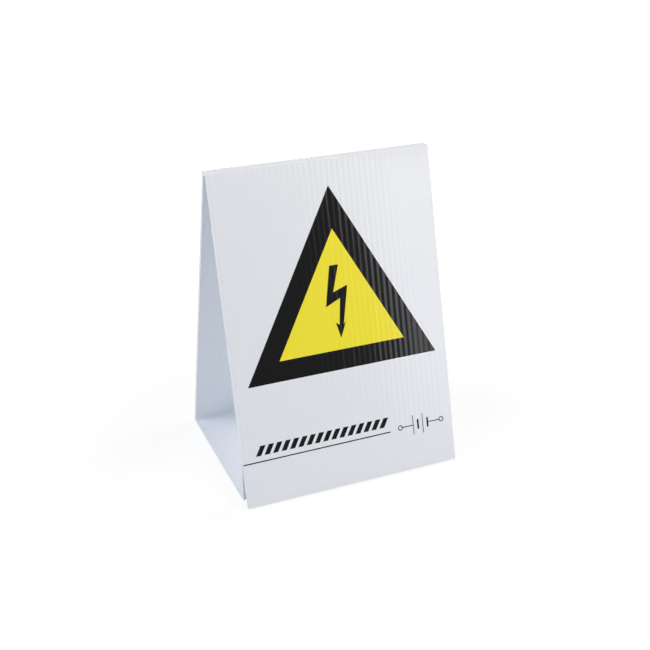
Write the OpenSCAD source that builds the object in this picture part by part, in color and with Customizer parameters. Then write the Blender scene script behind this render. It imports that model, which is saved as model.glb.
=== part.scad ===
// Folding warning sign: one fluted plastic sheet, creased across its flutes and folded into a tent.
// X runs across the flutes, Y from front to back and Z up, in millimetres.
// The origin is on the ground, under the middle of the folded sheet.
// The sheet is walked from the front panel's cut edge, over the two top creases, down the back panel,
// under the floor panel and up the flap, whose top edge meets the front panel from behind.

/* [Sheet] */
// Width of the sheet, across the flutes
sheet_w = 210; // [100:1:420]
// Thickness of the sheet
sheet_t = 4; // [3:0.5:6]
// Thickness of each of the two skins
skin_t = 0.35; // [0.2:0.05:0.6]
// Thickness of the webs between the flutes
web_t = 0.3; // [0.2:0.05:0.6]
// Number of flutes side by side
flute_count = 40; // [10:1:60]

/* [Panels] */
// Length of the front panel, from its cut edge to the top crease
front_len = 300; // [200:1:420]
// Lean of the front and back panels from upright, in degrees
lean = 15.5; // [10:0.5:25]
// Flat strip under the ridge, between its two pressed creases
ridge_flat = 0.7; // [0.5:0.1:10]
// Height of the flap behind the front panel
flap_h = 38; // [20:1:80]
// Clearance between the flap's top edge and the front panel
flap_gap = 0.2; // [0.1:0.1:1]

/* [Folds] */
// Outside radius of the folds, as a share of the sheet's thickness
fold_share = 0.625; // [0.3:0.025:0.9]
// Height that the flutes keep where a crease presses them
crush_h = 1; // [0.5:0.1:1.5]
// Inside radius of the folds, where the pressed skin gathers in the corner
inner_r = 1.2; // [0.5:0.1:2.5]
// Length by which a crease presses the flutes past each end of the inside radius
crease_len = 0.7; // [0.3:0.1:3]

/* [Hidden] */
// Flat steps round each fold
fold_steps = 6;
// Length by which each flute's cutter passes the sheet's cut edges
overcut = 0.1;

fold_r = fold_share * sheet_t;

// The ridge is as wide as its two creases need on the inside, where the sheet's thickness narrows it
ridge_w = ridge_flat + 2 * crease_len + 2 * (sheet_t + inner_r) * tan((90 - lean) / 2);

// The front panel is cut square, so its inner corner stands on the ground and its outer corner is higher
front_foot_z = sheet_t * sin(lean);
ridge_z = front_foot_z + front_len * cos(lean);
front_foot_y = -ridge_w / 2 - front_len * sin(lean);
back_foot_y = ridge_w / 2 + ridge_z * tan(lean);

// The flap's outer face stands where its top edge just clears the leaning front panel
flap_y = front_foot_y + (flap_h - front_foot_z) * tan(lean) + sheet_t / cos(lean) + flap_gap;

// Outer corners of the folded sheet, as [y, z]
corners = [
    [front_foot_y, front_foot_z],
    [-ridge_w / 2, ridge_z],
    [ridge_w / 2, ridge_z],
    [back_foot_y, 0],
    [flap_y, 0],
    [flap_y, flap_h]
];
panel_count = len(corners) - 1;

flute_pitch = (sheet_w - web_t) / flute_count;

// Direction of a panel along the walk, and its normal towards the inside of the tent
function along(panel) =
    let (run = corners[panel + 1] - corners[panel])
    run / norm(run);
function inward(panel) = [along(panel)[1], -along(panel)[0]];

// Vector from an outer corner to the line that lies one millimetre inside both of its panels
function miter(corner) =
    let (before = inward(corner - 1), after = inward(corner))
    (before + after) / (1 + before * after);

// Angle by which the walk turns at a corner
function turn_angle(corner) = acos(along(corner - 1) * along(corner));

// A vector turned clockwise, the way every fold turns
function turned(v, angle) = [v[0] * cos(angle) + v[1] * sin(angle), v[1] * cos(angle) - v[0] * sin(angle)];

// Point of an arc round a centre that lies at a depth under both panels of a corner, at an angle of its turn
function arc_point(corner, centre_depth, radius, angle) =
    corners[corner] + centre_depth * miter(corner) - radius * turned(inward(corner - 1), angle);

// Arc of a fold at a depth below the outer face, round the centre of the outside radius
function outer_arc(corner, depth) =
    [for (step = [0 : fold_steps])
        arc_point(corner, fold_r, fold_r - depth, turn_angle(corner) * step / fold_steps)];

// Arc of a fold on the inner face, round the centre of the inside radius
function inner_arc(corner) =
    [for (step = [0 : fold_steps])
        arc_point(corner, sheet_t + inner_r, inner_r, turn_angle(corner) * step / fold_steps)];

// A flute's inner side at a fold: it leaves the inner skin before the inside radius, comes close to the
// outer skin where the crease presses it, and is back at the inner skin past the inside radius
function pressed_flute(corner) = [
    arc_point(corner, sheet_t + inner_r, inner_r + skin_t, 0) - crease_len * along(corner - 1),
    arc_point(corner, fold_r, fold_r - skin_t - crush_h, turn_angle(corner) / 2),
    arc_point(corner, sheet_t + inner_r, inner_r + skin_t, turn_angle(corner)) + crease_len * along(corner)
];

// A line along the whole walk, with a list of points for each fold, past both cut edges by an extra length
function walk_line(depth, folds, extra = 0) = concat(
    [corners[0] + depth * inward(0) - extra * along(0)],
    [for (fold = folds) each fold],
    [corners[panel_count] + depth * inward(panel_count - 1) + extra * along(panel_count - 1)]
);

function backwards(points) = [for (i = [len(points) - 1 : -1 : 0]) points[i]];

fold_corners = [1 : panel_count - 1];
sheet_section = concat(
    walk_line(0, [for (corner = fold_corners) outer_arc(corner, 0)]),
    backwards(walk_line(sheet_t, [for (corner = fold_corners) inner_arc(corner)]))
);
flute_section = concat(
    walk_line(skin_t, [for (corner = fold_corners) outer_arc(corner, skin_t)], overcut),
    backwards(walk_line(sheet_t - skin_t, [for (corner = fold_corners) pressed_flute(corner)], overcut))
);

// Middle of the section from front to back, which goes to the origin
section_y = [for (point = sheet_section) point[0]];
middle_y = (min(section_y) + max(section_y)) / 2;

// A [y, z] section stood up and extruded across the width, centred on X
module across(width, points) {
    rotate([90, 0, 90])
        linear_extrude(height = width, center = true)
            translate([-middle_y, 0])
                polygon(points);
}

module folded_sheet() {
    color("whitesmoke")
        difference() {
            across(sheet_w, sheet_section);
            for (i = [0 : flute_count - 1])
                translate([(i - (flute_count - 1) / 2) * flute_pitch, 0, 0])
                    across(flute_pitch - web_t, flute_section);
        }
}

folded_sheet();
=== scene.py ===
import math
import random

import bmesh
import bpy
from mathutils import Matrix, Vector


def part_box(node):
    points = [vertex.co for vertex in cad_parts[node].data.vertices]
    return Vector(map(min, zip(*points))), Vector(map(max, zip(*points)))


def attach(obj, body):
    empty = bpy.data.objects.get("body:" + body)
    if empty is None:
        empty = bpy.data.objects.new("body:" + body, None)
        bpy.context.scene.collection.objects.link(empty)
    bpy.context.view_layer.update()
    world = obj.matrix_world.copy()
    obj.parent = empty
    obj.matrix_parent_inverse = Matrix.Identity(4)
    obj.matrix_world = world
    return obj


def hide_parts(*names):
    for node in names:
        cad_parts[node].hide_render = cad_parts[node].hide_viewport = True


# Looks of the folding warning sign, around its CAD frame, in metres.
# X runs across the flutes, Y from front to back and Z up.
# A point of the section is a Vector((y, z)).
# A point of the front face is (u, s): u across it from its middle, s up it from its cut edge.

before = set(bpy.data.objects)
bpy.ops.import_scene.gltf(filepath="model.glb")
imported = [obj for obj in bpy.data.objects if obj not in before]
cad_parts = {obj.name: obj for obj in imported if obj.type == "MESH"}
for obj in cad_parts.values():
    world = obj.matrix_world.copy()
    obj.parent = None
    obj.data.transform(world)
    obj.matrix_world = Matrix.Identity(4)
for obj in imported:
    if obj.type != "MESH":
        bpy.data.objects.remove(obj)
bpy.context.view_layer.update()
cad_low, cad_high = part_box("folded_sheet")

# The folded sheet, as in its CAD
SHEET_W = cad_high.x - cad_low.x
SHEET_T = 0.004
SKIN_T = 0.00035
WEB_T = 0.0003
FLUTE_COUNT = 40
LEAN = math.radians(15.5)
RIDGE_FLAT = 0.0007
FLAP_H = 0.038
FLAP_GAP = 0.0002
FOLD_R = 0.625 * SHEET_T
INNER_R = 0.0012
CRUSH_H = 0.001
CREASE_LEN = 0.0007
FLUTE_PITCH = (SHEET_W - WEB_T) / FLUTE_COUNT

# How the thin skins sink between the webs, and sink further where a crease pulls them
SKIN_SAG = 0.00006
CREASE_SAG = 0.00020
CREASE_REACH = 0.012
SAG_SPREAD = 0.35
SAG_SEED = 7

# How finely the mesh follows the sheet, across each flute and along the walk
FLUTE_COLUMNS = 8
LAST_COLUMN = FLUTE_COUNT * FLUTE_COLUMNS
FOLD_STEPS = 6
LONGEST_STEP = 0.045
NEAR_CREASE = (0.002, 0.005)
SHARP_ANGLE = math.radians(25)

# The camera, at the photograph's viewing angle
CAMERA_TARGET = Vector((0.00505, 0.0, 0.12537))
CAMERA_AZIMUTH = math.radians(22.684)
CAMERA_ELEVATION = math.radians(25.842)
CAMERA_ROLL = math.radians(-0.265)
CAMERA_DISTANCE = 1.00286
CAMERA_LENS_MM = 58.659
CAMERA_SENSOR_MM = 36.0


# Section of the folded sheet

RIDGE_W = RIDGE_FLAT + 2 * CREASE_LEN + 2 * (SHEET_T + INNER_R) * math.tan((math.pi / 2 - LEAN) / 2)
FRONT_FOOT_Z = SHEET_T * math.sin(LEAN)
FRONT_FOOT_Y = cad_low.y
RIDGE_Z = cad_high.z
FRONT_LEN = (RIDGE_Z - FRONT_FOOT_Z) / math.cos(LEAN)
RIDGE_FRONT_Y = FRONT_FOOT_Y + FRONT_LEN * math.sin(LEAN)
RIDGE_BACK_Y = RIDGE_FRONT_Y + RIDGE_W
BACK_FOOT_Y = RIDGE_BACK_Y + RIDGE_Z * math.tan(LEAN)
FLAP_Y = FRONT_FOOT_Y + (FLAP_H - FRONT_FOOT_Z) * math.tan(LEAN) + SHEET_T / math.cos(LEAN) + FLAP_GAP
CORNERS = [
    Vector((FRONT_FOOT_Y, FRONT_FOOT_Z)),
    Vector((RIDGE_FRONT_Y, RIDGE_Z)),
    Vector((RIDGE_BACK_Y, RIDGE_Z)),
    Vector((BACK_FOOT_Y, 0.0)),
    Vector((FLAP_Y, 0.0)),
    Vector((FLAP_Y, FLAP_H)),
]
PANEL_COUNT = len(CORNERS) - 1


def along(panel):
    """Direction of a panel along the walk from the front cut edge to the flap's."""
    return (CORNERS[panel + 1] - CORNERS[panel]).normalized()


def inward(panel):
    """Normal of a panel towards the inside of the tent."""
    direction = along(panel)
    return Vector((direction.y, -direction.x))


def miter(corner):
    """Step from an outer corner to the line one unit inside both of its panels."""
    before = inward(corner - 1)
    after = inward(corner)
    return (before + after) / (1 + before.dot(after))


def turn_angle(corner):
    """Angle by which the walk turns at a corner."""
    return along(corner - 1).angle(along(corner))


def turned(vector, angle):
    """A vector of the section turned clockwise."""
    return Matrix.Rotation(-angle, 2) @ vector


def arc_point(corner, centre_depth, radius, angle):
    """Point of an arc at an angle of a corner's turn, round a centre at a depth under both panels."""
    return CORNERS[corner] + centre_depth * miter(corner) - radius * turned(inward(corner - 1), angle)


class Station:
    """A place along the walk: its points on both faces and on a flute's two sides, and both skins' sag."""

    def __init__(self, outer, outer_wall, inner, inner_wall, depth, sag):
        self.outer = outer
        self.outer_wall = outer_wall
        self.inner = inner
        self.inner_wall = inner_wall
        self.outer_sag = sag * depth
        self.inner_sag = -sag * depth


def flat_ends(panel):
    """Both ends of a panel's flat part, on its outer and on its inner face."""
    direction = along(panel)
    outer_ends = [CORNERS[panel].copy(), CORNERS[panel + 1].copy()]
    inner_ends = [corner + SHEET_T * inward(panel) for corner in outer_ends]
    for end, sign in ((0, 1), (1, -1)):
        corner = panel + end
        if 0 < corner < PANEL_COUNT:
            half_turn = math.tan(turn_angle(corner) / 2)
            outer_ends[end] += sign * direction * FOLD_R * half_turn
            inner_ends[end] += sign * direction * ((SHEET_T + INNER_R) * half_turn + CREASE_LEN)
    return outer_ends, inner_ends


def panel_places(length, folds):
    """Distances along a panel for its stations, closer together beside the ends that meet a fold."""
    if length <= 2 * CREASE_REACH:
        return [length / 3, 2 * length / 3]
    first = CREASE_REACH if folds[0] else 0.0
    last = length - CREASE_REACH if folds[1] else length
    steps = math.ceil((last - first) / LONGEST_STEP)
    places = [first + (last - first) * step / steps for step in range(steps + 1)]
    places += [reach for reach in NEAR_CREASE if folds[0]]
    places += [length - reach for reach in NEAR_CREASE if folds[1]]
    return sorted(places)


def panel_stations(panel):
    """Stations on the flat part of a panel, without the ones where it meets a fold."""
    depth = inward(panel)
    outer_ends, inner_ends = flat_ends(panel)
    length = (outer_ends[1] - outer_ends[0]).length
    folds = (panel > 0, panel + 1 < PANEL_COUNT)
    stations = []
    for place in panel_places(length, folds):
        share = place / length
        outer = outer_ends[0].lerp(outer_ends[1], share)
        inner = inner_ends[0].lerp(inner_ends[1], share)
        outer_wall = outer + SKIN_T * depth
        inner_wall = inner - SKIN_T * depth
        gaps = [gap for gap, fold in zip((place, length - place), folds) if fold]
        pull = max(0.0, 1 - min(gaps) / CREASE_REACH) ** 2
        sag = SKIN_SAG + CREASE_SAG * pull
        stations.append(Station(outer, outer_wall, inner, inner_wall, depth, sag))
    return stations


def fold_stations(corner):
    """Stations round a fold, where the crease presses the flutes towards the outer skin."""
    turn = turn_angle(corner)
    inner_centre = SHEET_T + INNER_R
    pressed = arc_point(corner, FOLD_R, FOLD_R - SKIN_T - CRUSH_H, turn / 2)
    before = arc_point(corner, inner_centre, INNER_R + SKIN_T, 0.0) - CREASE_LEN * along(corner - 1)
    after = arc_point(corner, inner_centre, INNER_R + SKIN_T, turn) + CREASE_LEN * along(corner)
    stations = []
    for step in range(FOLD_STEPS + 1):
        angle = turn * step / FOLD_STEPS
        outer = arc_point(corner, FOLD_R, FOLD_R, angle)
        outer_wall = arc_point(corner, FOLD_R, FOLD_R - SKIN_T, angle)
        inner = arc_point(corner, inner_centre, INNER_R, angle)
        across_fold = 2 * step / FOLD_STEPS - 1
        inner_wall = pressed.lerp(after if across_fold > 0 else before, abs(across_fold))
        depth = turned(inward(corner - 1), angle)
        stations.append(Station(outer, outer_wall, inner, inner_wall, depth, SKIN_SAG + CREASE_SAG))
    return stations


# Mesh of the folded sheet

rng = random.Random(SAG_SEED)
OUTER_SAGS = [rng.uniform(1 - SAG_SPREAD, 1 + SAG_SPREAD) for _ in range(FLUTE_COUNT)]
INNER_SAGS = [rng.uniform(1 - SAG_SPREAD, 1 + SAG_SPREAD) for _ in range(FLUTE_COUNT)]
FIRST_WEB_X = -(SHEET_W - WEB_T) / 2


def sag_share(column, sags):
    """Share of the sag at a column: nothing on a web, and the flute's own share half way between two."""
    flute, part = divmod(column, FLUTE_COLUMNS)
    if part == 0:
        return 0.0
    return sags[flute] * math.sin(math.pi * part / FLUTE_COLUMNS) ** 2


def column_x(column):
    """Place of a column, where the first and the last one lie on the cut edges."""
    if column == 0:
        return -SHEET_W / 2
    if column == LAST_COLUMN:
        return SHEET_W / 2
    return FIRST_WEB_X + FLUTE_PITCH * column / FLUTE_COLUMNS


def new_object(name, vertices, faces, material):
    """A mesh object whose face normals point out, shaded smooth up to its sharp edges."""
    mesh = bpy.data.meshes.new(name)
    mesh.from_pydata(vertices, [], faces)
    shell = bmesh.new()
    shell.from_mesh(mesh)
    bmesh.ops.recalc_face_normals(shell, faces=shell.faces)
    shell.to_mesh(mesh)
    shell.free()
    mesh.shade_smooth()
    mesh.set_sharp_from_angle(angle=SHARP_ANGLE)
    mesh.materials.append(material)
    piece = bpy.data.objects.new(name, mesh)
    bpy.context.scene.collection.objects.link(piece)
    return piece


def build_sheet(material):
    """The whole sheet: two skins, their side edges, and flutes open from one cut edge to the other."""
    stations = []
    for panel in range(PANEL_COUNT):
        stations += panel_stations(panel)
        if panel + 1 < PANEL_COUNT:
            stations += fold_stations(panel + 1)
    vertices = []
    faces = []

    def add_row(points):
        start = len(vertices)
        vertices.extend(points)
        return list(range(start, len(vertices)))

    def bridge(row, other):
        for i in range(len(row) - 1):
            faces.append((row[i], row[i + 1], other[i + 1], other[i]))

    def face_row(base, sag, sags):
        return add_row([
            (column_x(c), *(base + sag * sag_share(c, sags)))
            for c in range(LAST_COLUMN + 1)
        ])

    def wall_row(base, sag, sags, flute):
        web_x = FIRST_WEB_X + flute * FLUTE_PITCH
        low_x = web_x + WEB_T / 2
        high_x = web_x + FLUTE_PITCH - WEB_T / 2
        first = flute * FLUTE_COLUMNS
        return add_row([
            (min(max(column_x(c), low_x), high_x), *(base + sag * sag_share(c, sags)))
            for c in range(first, first + FLUTE_COLUMNS + 1)
        ])

    outer_rows = [face_row(s.outer, s.outer_sag, OUTER_SAGS) for s in stations]
    inner_rows = [face_row(s.inner, s.inner_sag, INNER_SAGS) for s in stations]
    flute_rows = [
        [
            (
                wall_row(s.outer_wall, s.outer_sag, OUTER_SAGS, flute),
                wall_row(s.inner_wall, s.inner_sag, INNER_SAGS, flute),
            )
            for flute in range(FLUTE_COUNT)
        ]
        for s in stations
    ]

    # From station to station: the two faces, the two side edges and the inside of every flute
    for k in range(len(stations) - 1):
        outer_row, next_outer = outer_rows[k:k + 2]
        inner_row, next_inner = inner_rows[k:k + 2]
        bridge(outer_row, next_outer)
        bridge(inner_row, next_inner)
        for end in (0, -1):
            faces.append((outer_row[end], next_outer[end], next_inner[end], inner_row[end]))
        for (top, bottom), (next_top, next_bottom) in zip(flute_rows[k], flute_rows[k + 1]):
            bridge(top + bottom[::-1] + top[:1], next_top + next_bottom[::-1] + next_top[:1])

    # On the two cut edges: the ends of the skins and of the webs, round the open flutes
    for k in (0, -1):
        outer_row = outer_rows[k]
        inner_row = inner_rows[k]
        for flute, (top, bottom) in enumerate(flute_rows[k]):
            first = flute * FLUTE_COLUMNS
            bridge(outer_row[first:first + FLUTE_COLUMNS + 1], top)
            bridge(inner_row[first:first + FLUTE_COLUMNS + 1], bottom)
        for web in range(FLUTE_COUNT + 1):
            column = web * FLUTE_COLUMNS
            outline = [outer_row[column]]
            if web < FLUTE_COUNT:
                top, bottom = flute_rows[k][web]
                outline += [top[0], bottom[0]]
            outline.append(inner_row[column])
            if web > 0:
                top, bottom = flute_rows[k][web - 1]
                outline += [bottom[-1], top[-1]]
            faces.append(outline)
    return new_object("fluted_sheet", vertices, faces, material)


# Print on the front face

# A film of ink: its gap over what it lies on, its thickness, and how near two points are one
INK_GAP = 0.000005
INK_T = 0.00003
SAME_PLACE = 0.000001
RING_SIDES = 24


def face_height(u):
    """Height of the front skin over its webs, nothing or less, straight from one column to the next."""
    place = (u - FIRST_WEB_X) / FLUTE_PITCH * FLUTE_COLUMNS
    column = min(max(math.floor(place), 0), LAST_COLUMN - 1)
    share = min(max(place - column, 0.0), 1.0)
    left = sag_share(column, OUTER_SAGS)
    right = sag_share(column + 1, OUTER_SAGS)
    return -SKIN_SAG * (left + (right - left) * share)


def face_point(u, s, height):
    """A point of the front face, at a height over its webs, in the frame's x, y and z."""
    point = CORNERS[0] + s * along(0) - height * inward(0)
    return (u, point.x, point.y)


def build_print(name, outlines, layer, material):
    """Flat outlines as thin films of ink that follow the skin, on top of a number of other layers."""
    flat = bmesh.new()
    for outline in outlines:
        flat.faces.new([flat.verts.new((u, s, 0.0)) for u, s in outline])
    bmesh.ops.remove_doubles(flat, verts=flat.verts, dist=SAME_PLACE)
    bmesh.ops.triangulate(flat, faces=flat.faces)
    low_u = min(u for outline in outlines for u, s in outline)
    high_u = max(u for outline in outlines for u, s in outline)
    for column in range(LAST_COLUMN + 1):
        x = column_x(column)
        if low_u < x < high_u:
            geometry = flat.verts[:] + flat.edges[:] + flat.faces[:]
            bmesh.ops.bisect_plane(flat, geom=geometry, plane_co=(x, 0, 0), plane_no=(1, 0, 0))
    flat.verts.index_update()
    under = layer * (INK_GAP + INK_T) + INK_GAP
    vertices = []
    for lift in (under + INK_T, under):
        vertices += [face_point(v.co.x, v.co.y, face_height(v.co.x) + lift) for v in flat.verts]
    count = len(flat.verts)
    faces = []
    for face in flat.faces:
        loop = [v.index for v in face.verts]
        faces.append(loop)
        faces.append([i + count for i in reversed(loop)])
    for edge in flat.edges:
        if edge.is_boundary:
            a, b = (v.index for v in edge.verts)
            faces.append((a, b, b + count, a + count))
    flat.free()
    return new_object(name, vertices, faces, material)


def bar(u0, s0, u1, s1):
    """An upright rectangle between two of its corners."""
    return [(u0, s0), (u1, s0), (u1, s1), (u0, s1)]


def ring(centre_u, centre_s, radius, width):
    """A ring as a row of convex outlines."""
    outlines = []
    for side in range(RING_SIDES):
        angles = (2 * math.pi * side / RING_SIDES, 2 * math.pi * (side + 1) / RING_SIDES)
        inner, outer = (
            [(centre_u + r * math.cos(angle), centre_s + r * math.sin(angle)) for angle in angles]
            for r in (radius, radius + width)
        )
        outlines.append([inner[0], outer[0], outer[1], inner[1]])
    return outlines


# The warning triangle, printed slightly askew: its middle line runs to the right by a share of its height
SIGN_CENTRE_U = 0.0020
SIGN_BASE_S = 0.1096
SIGN_SIDE = 0.1860
SIGN_HEIGHT = 0.1663
SIGN_SKEW = 0.0154
FIELD_SHARE = 0.66
FIELD_DROP = 0.0004


def sign_triangle(share, drop):
    """The sign's outline, drawn in towards its centroid to a share of its size and set down by a drop."""
    base_rise = -SIGN_HEIGHT / 3 * share
    apex_rise = SIGN_HEIGHT * 2 / 3 * share
    centre_s = SIGN_BASE_S + SIGN_HEIGHT / 3 - drop
    half_base = SIGN_SIDE / 2 * share
    base_u = SIGN_CENTRE_U + SIGN_SKEW * base_rise
    return [
        (base_u - half_base, centre_s + base_rise),
        (base_u + half_base, centre_s + base_rise),
        (SIGN_CENTRE_U + SIGN_SKEW * apex_rise, centre_s + apex_rise),
    ]


def frame_outlines():
    """The black frame as three strips between the sign's outline and its field's."""
    outside = sign_triangle(1.0, 0.0)
    inside = sign_triangle(FIELD_SHARE, FIELD_DROP)
    outlines = []
    for i in range(3):
        j = (i + 1) % 3
        outlines.append([outside[i], outside[j], inside[j], inside[i]])
    return outlines


# The bolt with an arrow head, clockwise from its top left corner
BOLT = [
    (-0.0033, 0.2054),
    (0.0052, 0.2053),
    (-0.0022, 0.1810),
    (0.0121, 0.1858),
    (0.0048, 0.1506),
    (0.0072, 0.1532),
    (0.0010, 0.1384),
    (-0.0027, 0.1533),
    (0.0006, 0.1507),
    (0.0039, 0.1750),
    (-0.0106, 0.1686),
]

# The rule, which starts at the left cut edge
RULE_S = 0.0408
RULE_W = 0.0011
RULE_END_U = 0.040

# The slanted bars over the rule
BARS_FROM_U = -0.0925
BARS_TO_U = 0.041
BARS_S = (0.0463, 0.0554)
BAR_W = 0.0050
BAR_PITCH = 0.0081
BAR_SLANT = 0.0052

# The cell symbol beside them, with each plate's place, height and width
CELL_WIRE_S = 0.0425
CELL_WIRE_W = 0.0009
CELL_FROM_U = 0.0505
CELL_TO_U = 0.0935
CELL_RING_R = 0.0016
CELL_PLATES = [
    (0.0640, 0.0190, 0.0007),
    (0.0690, 0.0095, 0.0018),
    (0.0740, 0.0190, 0.0007),
    (0.0790, 0.0095, 0.0018),
]


def rule():
    """The thin line under the slanted bars."""
    return bar(-SHEET_W / 2, RULE_S - RULE_W / 2, RULE_END_U, RULE_S + RULE_W / 2)


def slanted_bars():
    """A row of bars that lean to the right, as many as fit between its two ends."""
    low_s, high_s = BARS_S
    outlines = []
    start = BARS_FROM_U
    while start + BAR_W + BAR_SLANT <= BARS_TO_U:
        outlines.append([
            (start, low_s),
            (start + BAR_W, low_s),
            (start + BAR_W + BAR_SLANT, high_s),
            (start + BAR_SLANT, high_s),
        ])
        start += BAR_PITCH
    return outlines


def cell_symbol():
    """Two cells in a row between two open terminals, as a circuit diagram draws them."""
    low_s = CELL_WIRE_S - CELL_WIRE_W / 2
    high_s = CELL_WIRE_S + CELL_WIRE_W / 2
    reach = CELL_RING_R + CELL_WIRE_W
    outlines = []
    for end_u in (CELL_FROM_U, CELL_TO_U):
        outlines += ring(end_u, CELL_WIRE_S, CELL_RING_R, CELL_WIRE_W)
    for u, height, width in CELL_PLATES:
        foot_s = CELL_WIRE_S - height / 2
        top_s = CELL_WIRE_S + height / 2
        outlines.append(bar(u - width / 2, foot_s, u + width / 2, top_s))
    first_u, _, first_w = CELL_PLATES[0]
    last_u, _, last_w = CELL_PLATES[-1]
    outlines.append(bar(CELL_FROM_U + reach, low_s, first_u - first_w / 2, high_s))
    outlines.append(bar(last_u + last_w / 2, low_s, CELL_TO_U - reach, high_s))
    return outlines


# Materials

# White sheet: the two tones of its fine lines, the tone of its webs, and a darker tone painted on its side
# edges as shade
SHEET_TONES = ((0.860, 0.888, 0.938), (0.868, 0.895, 0.942))
WEB_TONE = (0.874, 0.900, 0.946)
EDGE_SHADE_TONE = (0.738, 0.765, 0.815)
SHEET_ROUGHNESS = (0.18, 0.23)
SHEET_IOR = 1.49
SHEET_SPECULAR = 0.20

# Reach at which a web shows through the skin, in flutes, and how far the painted shade on the side edges
# runs in
WEB_SHOWS = 0.12
EDGE_SHADE_REACH = 0.0002

# Ink: the two tones of each colour's faint streaks
BLACK_TONES = ((0.003, 0.003, 0.004), (0.006, 0.006, 0.007))
YELLOW_TONES = ((0.977, 0.848, 0.050), (0.997, 0.868, 0.063))
INK_ROUGHNESS = (0.10, 0.18)
BLACK_SPECULAR = 0.11
YELLOW_SPECULAR = 0.06

# Levels between which a noise has most of its values
NOISE_LOW = 0.3
NOISE_HIGH = 0.7


def new_material(name):
    """A material with its node tree and its shader."""
    material = bpy.data.materials.new(name)
    material.use_nodes = True
    tree = material.node_tree
    return material, tree, tree.nodes["Principled BSDF"]


def add_node(tree, kind, inputs=(), **settings):
    """A node with its settings, and with its inputs linked to sockets or set to values."""
    node = tree.nodes.new(kind)
    for name, value in settings.items():
        setattr(node, name, value)
    for key, value in dict(inputs).items():
        if isinstance(value, bpy.types.NodeSocket):
            tree.links.new(value, node.inputs[key])
        else:
            node.inputs[key].default_value = value
    return node


def object_place(tree):
    """Place in metres, in the frame's x, y and z."""
    return add_node(tree, "ShaderNodeTexCoord").outputs["Object"]


def object_x(tree):
    """Place across the flutes, in metres from the middle."""
    return add_node(tree, "ShaderNodeSeparateXYZ", {"Vector": object_place(tree)}).outputs["X"]


def noise(tree, place, scale, detail, roughness):
    inputs = {"Vector": place, "Scale": scale, "Detail": detail, "Roughness": roughness}
    return add_node(tree, "ShaderNodeTexNoise", inputs).outputs["Fac"]


def streaks(tree, across, up):
    """Noise drawn out along the flutes, as the sheet leaves its die."""
    inputs = {"Vector": object_place(tree), "Scale": (across, up, up)}
    stretch = add_node(tree, "ShaderNodeMapping", inputs)
    return noise(tree, stretch.outputs["Vector"], scale=1.0, detail=3.0, roughness=0.55)


def speckle(tree, scale, detail):
    """Noise that is alike in every direction."""
    return noise(tree, object_place(tree), scale, detail, roughness=0.5)


def to_range(tree, value, low, high, from_low, from_high, **settings):
    """A value between two bounds as one between two others, and no further."""
    inputs = {"Value": value, "From Min": from_low, "From Max": from_high, "To Min": low, "To Max": high}
    return add_node(tree, "ShaderNodeMapRange", inputs, **settings).outputs["Result"]


def web_nearness(tree):
    """One on a web and nothing beyond the reach at which it shows, with flutes as the unit."""
    counted = add_node(
        tree, "ShaderNodeMath",
        {0: object_x(tree), 1: 1 / FLUTE_PITCH, 2: -FIRST_WEB_X / FLUTE_PITCH},
        operation="MULTIPLY_ADD",
    )
    gap = add_node(tree, "ShaderNodeMath", {0: counted.outputs["Value"], 1: 0.5}, operation="PINGPONG")
    return to_range(
        tree, gap.outputs["Value"],
        low=1.0, high=0.0, from_low=0.0, from_high=WEB_SHOWS, interpolation_type="SMOOTHSTEP",
    )


def painted_edge_shade(tree):
    """Mask of the painted shade: one on the two side edges, where the sheet is cut along its flutes, and
    nothing on its faces.
    """
    side = add_node(tree, "ShaderNodeMath", {0: object_x(tree)}, operation="ABSOLUTE")
    return to_range(
        tree, side.outputs["Value"],
        low=0.0, high=1.0, from_low=SHEET_W / 2 - EDGE_SHADE_REACH, from_high=SHEET_W / 2 - EDGE_SHADE_REACH / 2,
    )


# Sockets of a Mix node for colours, whose names it also uses for other kinds of value
MIX_BELOW = 6
MIX_ABOVE = 7
MIX_RESULT = 2


def mixed(tree, share, below, above):
    """A tone laid by a share over another tone, or over the colour of a socket."""
    if not isinstance(below, bpy.types.NodeSocket):
        below = (*below, 1.0)
    inputs = {"Factor": share, MIX_BELOW: below, MIX_ABOVE: (*above, 1.0)}
    return add_node(tree, "ShaderNodeMix", inputs, data_type="RGBA").outputs[MIX_RESULT]


def add_bump(tree, shader, height, distance, strength):
    inputs = {"Height": height, "Distance": distance, "Strength": strength}
    bump = add_node(tree, "ShaderNodeBump", inputs)
    tree.links.new(bump.outputs["Normal"], shader.inputs["Normal"])


def sheet_material():
    """Extruded white plastic: satin, fine lines along the flutes, webs that show through the skins, and
    painted shade on its side edges.
    """
    material, tree, shader = new_material("white_fluted_plastic")
    lines = streaks(tree, across=900.0, up=6.0)
    colour = mixed(tree, lines, *SHEET_TONES)
    colour = mixed(tree, web_nearness(tree), colour, WEB_TONE)
    # Painted shade: the side edges get a darker tone than the faces, in place of less light falling on them
    colour = mixed(tree, painted_edge_shade(tree), colour, EDGE_SHADE_TONE)
    tree.links.new(colour, shader.inputs["Base Color"])
    patches = speckle(tree, scale=140.0, detail=3.0)
    roughness = to_range(tree, patches, *SHEET_ROUGHNESS, NOISE_LOW, NOISE_HIGH)
    tree.links.new(roughness, shader.inputs["Roughness"])
    shader.inputs["IOR"].default_value = SHEET_IOR
    shader.inputs["Specular IOR Level"].default_value = SHEET_SPECULAR
    add_bump(tree, shader, lines, distance=0.00004, strength=0.35)
    return material


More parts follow.
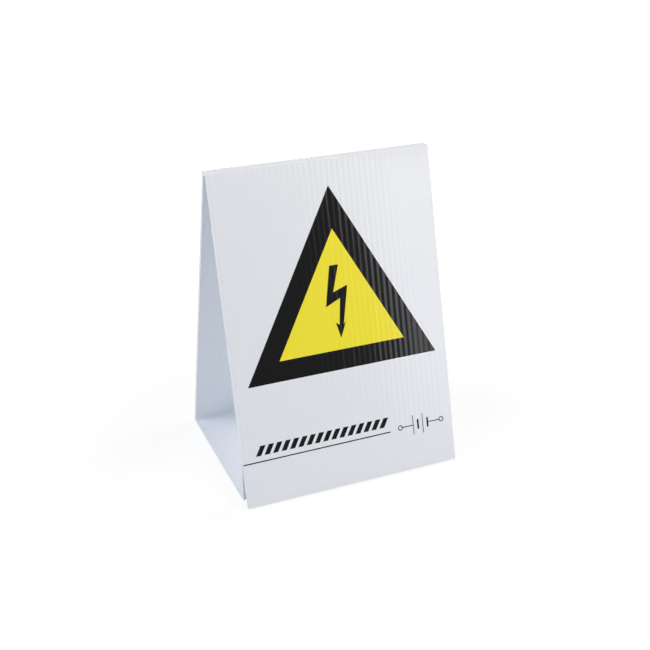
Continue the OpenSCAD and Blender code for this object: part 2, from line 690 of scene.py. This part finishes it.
def ink_material(name, tones, specular):
    """Screen ink: an even film with faint streaks along the flutes and a fine grain."""
    material, tree, shader = new_material(name)
    lines = streaks(tree, across=700.0, up=8.0)
    tree.links.new(mixed(tree, lines, *tones), shader.inputs["Base Color"])
    grain = speckle(tree, scale=900.0, detail=2.0)
    roughness = to_range(tree, grain, *INK_ROUGHNESS, NOISE_LOW, NOISE_HIGH)
    tree.links.new(roughness, shader.inputs["Roughness"])
    shader.inputs["Specular IOR Level"].default_value = specular
    add_bump(tree, shader, grain, distance=0.00002, strength=0.3)
    return material


# Floor, world and lamps

WHITE = (1.0, 1.0, 1.0, 1.0)

# Strength of the soft light from all round, and of the white backdrop that is seen instead
WORLD_LIGHT = 0.10
WORLD_SEEN = 1.0

# The floor's own colour gives the light that it throws back. The camera sees a glow instead, which rises
# from the near to the far reach, and a share of the light that falls there, which keeps the shadow.
FLOOR_SIDE = 2.4
FLOOR_DROP = 0.0002
FLOOR_COLOUR = (0.86, 0.87, 0.88)
FLOOR_NEAR_GLOW = 0.82
FLOOR_FAR_GLOW = 1.0
FLOOR_NEAR_REACH = 0.20
FLOOR_FAR_REACH = 0.60
FLOOR_SHADED = (0.22, 0.22, 0.22)

# Each lamp's name, azimuth and elevation in degrees, distance, width, height, power in watts and colour
LAMPS = [
    ("strip", 29.0, 8.0, 1.2, 0.13, 0.70, 3.05, (0.98, 0.97, 1.0)),
    ("near", 35.0, 60.0, 0.7, 0.4, 0.4, 1.25, (1.0, 0.91, 0.76)),
    ("left", -60.0, 8.0, 1.6, 0.8, 0.5, 7.3, (0.86, 0.93, 1.0)),
    ("sky", -95.0, 50.0, 1.6, 1.2, 1.2, 12.6, (0.95, 0.95, 1.0)),
    ("right", 97.0, 14.0, 1.4, 0.6, 0.6, 12.6, (0.98, 0.99, 1.0)),
    ("back", 172.0, 6.0, 1.6, 1.0, 0.5, 4.5, (0.96, 0.98, 1.0)),
]


def seen_directly(tree):
    """One for what the camera, a reflection or a clear piece sees, and nothing for other light."""
    path = add_node(tree, "ShaderNodeLightPath")
    seen = path.outputs["Is Camera Ray"]
    for kind in ("Is Glossy Ray", "Is Transmission Ray"):
        either = add_node(tree, "ShaderNodeMath", {0: seen, 1: path.outputs[kind]}, operation="MAXIMUM")
        seen = either.outputs["Value"]
    return seen


def set_surface(tree, output_kind, unseen, seen):
    """Gives a material or world one shader for the light that it sends out, and another that is seen."""
    choice = add_node(
        tree, "ShaderNodeMixShader",
        {0: seen_directly(tree), 1: unseen.outputs[0], 2: seen.outputs[0]},
    )
    output = add_node(tree, output_kind)
    tree.links.new(choice.outputs[0], output.inputs["Surface"])


def build_floor():
    """A plain white floor that keeps the object's shadow and turns as white as the backdrop further off."""
    half = FLOOR_SIDE / 2
    outline = ((-half, -half), (half, -half), (half, half), (-half, half))
    corners = [(x, y, -FLOOR_DROP) for x, y in outline]
    mesh = bpy.data.meshes.new("floor")
    mesh.from_pydata(corners, [], [(0, 1, 2, 3)])
    floor = bpy.data.objects.new("floor", mesh)
    bpy.context.scene.collection.objects.link(floor)
    material = bpy.data.materials.new("white_floor")
    material.use_nodes = True
    tree = material.node_tree
    tree.nodes.clear()
    plain = add_node(tree, "ShaderNodeBsdfDiffuse", {"Color": (*FLOOR_COLOUR, 1.0)})
    reach = add_node(tree, "ShaderNodeVectorMath", {0: object_place(tree)}, operation="LENGTH")
    strength = to_range(
        tree, reach.outputs["Value"],
        low=FLOOR_NEAR_GLOW, high=FLOOR_FAR_GLOW, from_low=FLOOR_NEAR_REACH, from_high=FLOOR_FAR_REACH,
    )
    glow = add_node(tree, "ShaderNodeEmission", {"Color": WHITE, "Strength": strength})
    shaded = add_node(tree, "ShaderNodeBsdfDiffuse", {"Color": (*FLOOR_SHADED, 1.0)})
    white = add_node(tree, "ShaderNodeAddShader", {0: glow.outputs[0], 1: shaded.outputs[0]})
    set_surface(tree, "ShaderNodeOutputMaterial", plain, white)
    mesh.materials.append(material)


def build_world():
    """Soft light from all round, and a white backdrop."""
    world = bpy.data.worlds.new("studio")
    world.use_nodes = True
    tree = world.node_tree
    tree.nodes.clear()
    soft = add_node(tree, "ShaderNodeBackground", {"Color": WHITE, "Strength": WORLD_LIGHT})
    white = add_node(tree, "ShaderNodeBackground", {"Color": WHITE, "Strength": WORLD_SEEN})
    set_surface(tree, "ShaderNodeOutputWorld", soft, white)
    bpy.context.scene.world = world


def build_lamp(name, azimuth, elevation, distance, width, height, power, colour):
    """A soft lamp that looks at the sign; its azimuth is counted from the front, to the right."""
    azimuth = math.radians(azimuth)
    elevation = math.radians(elevation)
    direction = Vector((
        math.sin(azimuth) * math.cos(elevation),
        -math.cos(azimuth) * math.cos(elevation),
        math.sin(elevation),
    ))
    data = bpy.data.lights.new(name, "AREA")
    data.shape = "RECTANGLE"
    data.size = width
    data.size_y = height
    data.energy = power
    data.color = colour
    lamp = bpy.data.objects.new(name, data)
    lamp.location = CAMERA_TARGET + direction * distance
    lamp.rotation_euler = direction.to_track_quat("Z", "Y").to_euler()
    bpy.context.scene.collection.objects.link(lamp)


def build_camera():
    """The camera looks forward at its target, turned a little about its own line of sight."""
    forward = Vector((
        math.sin(CAMERA_AZIMUTH) * math.cos(CAMERA_ELEVATION),
        math.cos(CAMERA_AZIMUTH) * math.cos(CAMERA_ELEVATION),
        -math.sin(CAMERA_ELEVATION),
    ))
    level_right = Vector((math.cos(CAMERA_AZIMUTH), -math.sin(CAMERA_AZIMUTH), 0.0))
    level_up = level_right.cross(forward)
    right = level_right * math.cos(CAMERA_ROLL) + level_up * math.sin(CAMERA_ROLL)
    up = right.cross(forward)
    data = bpy.data.cameras.new("camera")
    data.lens = CAMERA_LENS_MM
    data.sensor_width = CAMERA_SENSOR_MM
    camera = bpy.data.objects.new("camera", data)
    turn = Matrix((right, up, -forward)).transposed().to_4x4()
    camera.matrix_world = Matrix.Translation(CAMERA_TARGET - forward * CAMERA_DISTANCE) @ turn
    bpy.context.scene.collection.objects.link(camera)
    bpy.context.scene.camera = camera


build_camera()
build_floor()
build_world()
for lamp in LAMPS:
    build_lamp(*lamp)

INKS = {
    "black_print": ink_material("black_ink", BLACK_TONES, BLACK_SPECULAR),
    "yellow_print": ink_material("yellow_ink", YELLOW_TONES, YELLOW_SPECULAR),
}

# Each print's name, its outlines, the number of layers under it and its slot
PRINTS = [
    ("sign_frame", frame_outlines(), 0, "black_print"),
    ("sign_field", [sign_triangle(FIELD_SHARE, FIELD_DROP)], 0, "yellow_print"),
    ("bolt", [BOLT], 1, "black_print"),
    ("rule", [rule()], 0, "black_print"),
    ("slanted_bars", slanted_bars(), 0, "black_print"),
    ("cell_symbol", cell_symbol(), 0, "black_print"),
]

sheet = build_sheet(sheet_material())
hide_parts("folded_sheet")
pieces = [(sheet, "white_sheet")]
for name, outlines, layer, slot in PRINTS:
    pieces.append((build_print(name, outlines, layer, INKS[slot]), slot))
for piece, slot in pieces:
    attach(piece, "root")

bpy.context.scene.view_settings.view_transform = "Standard"
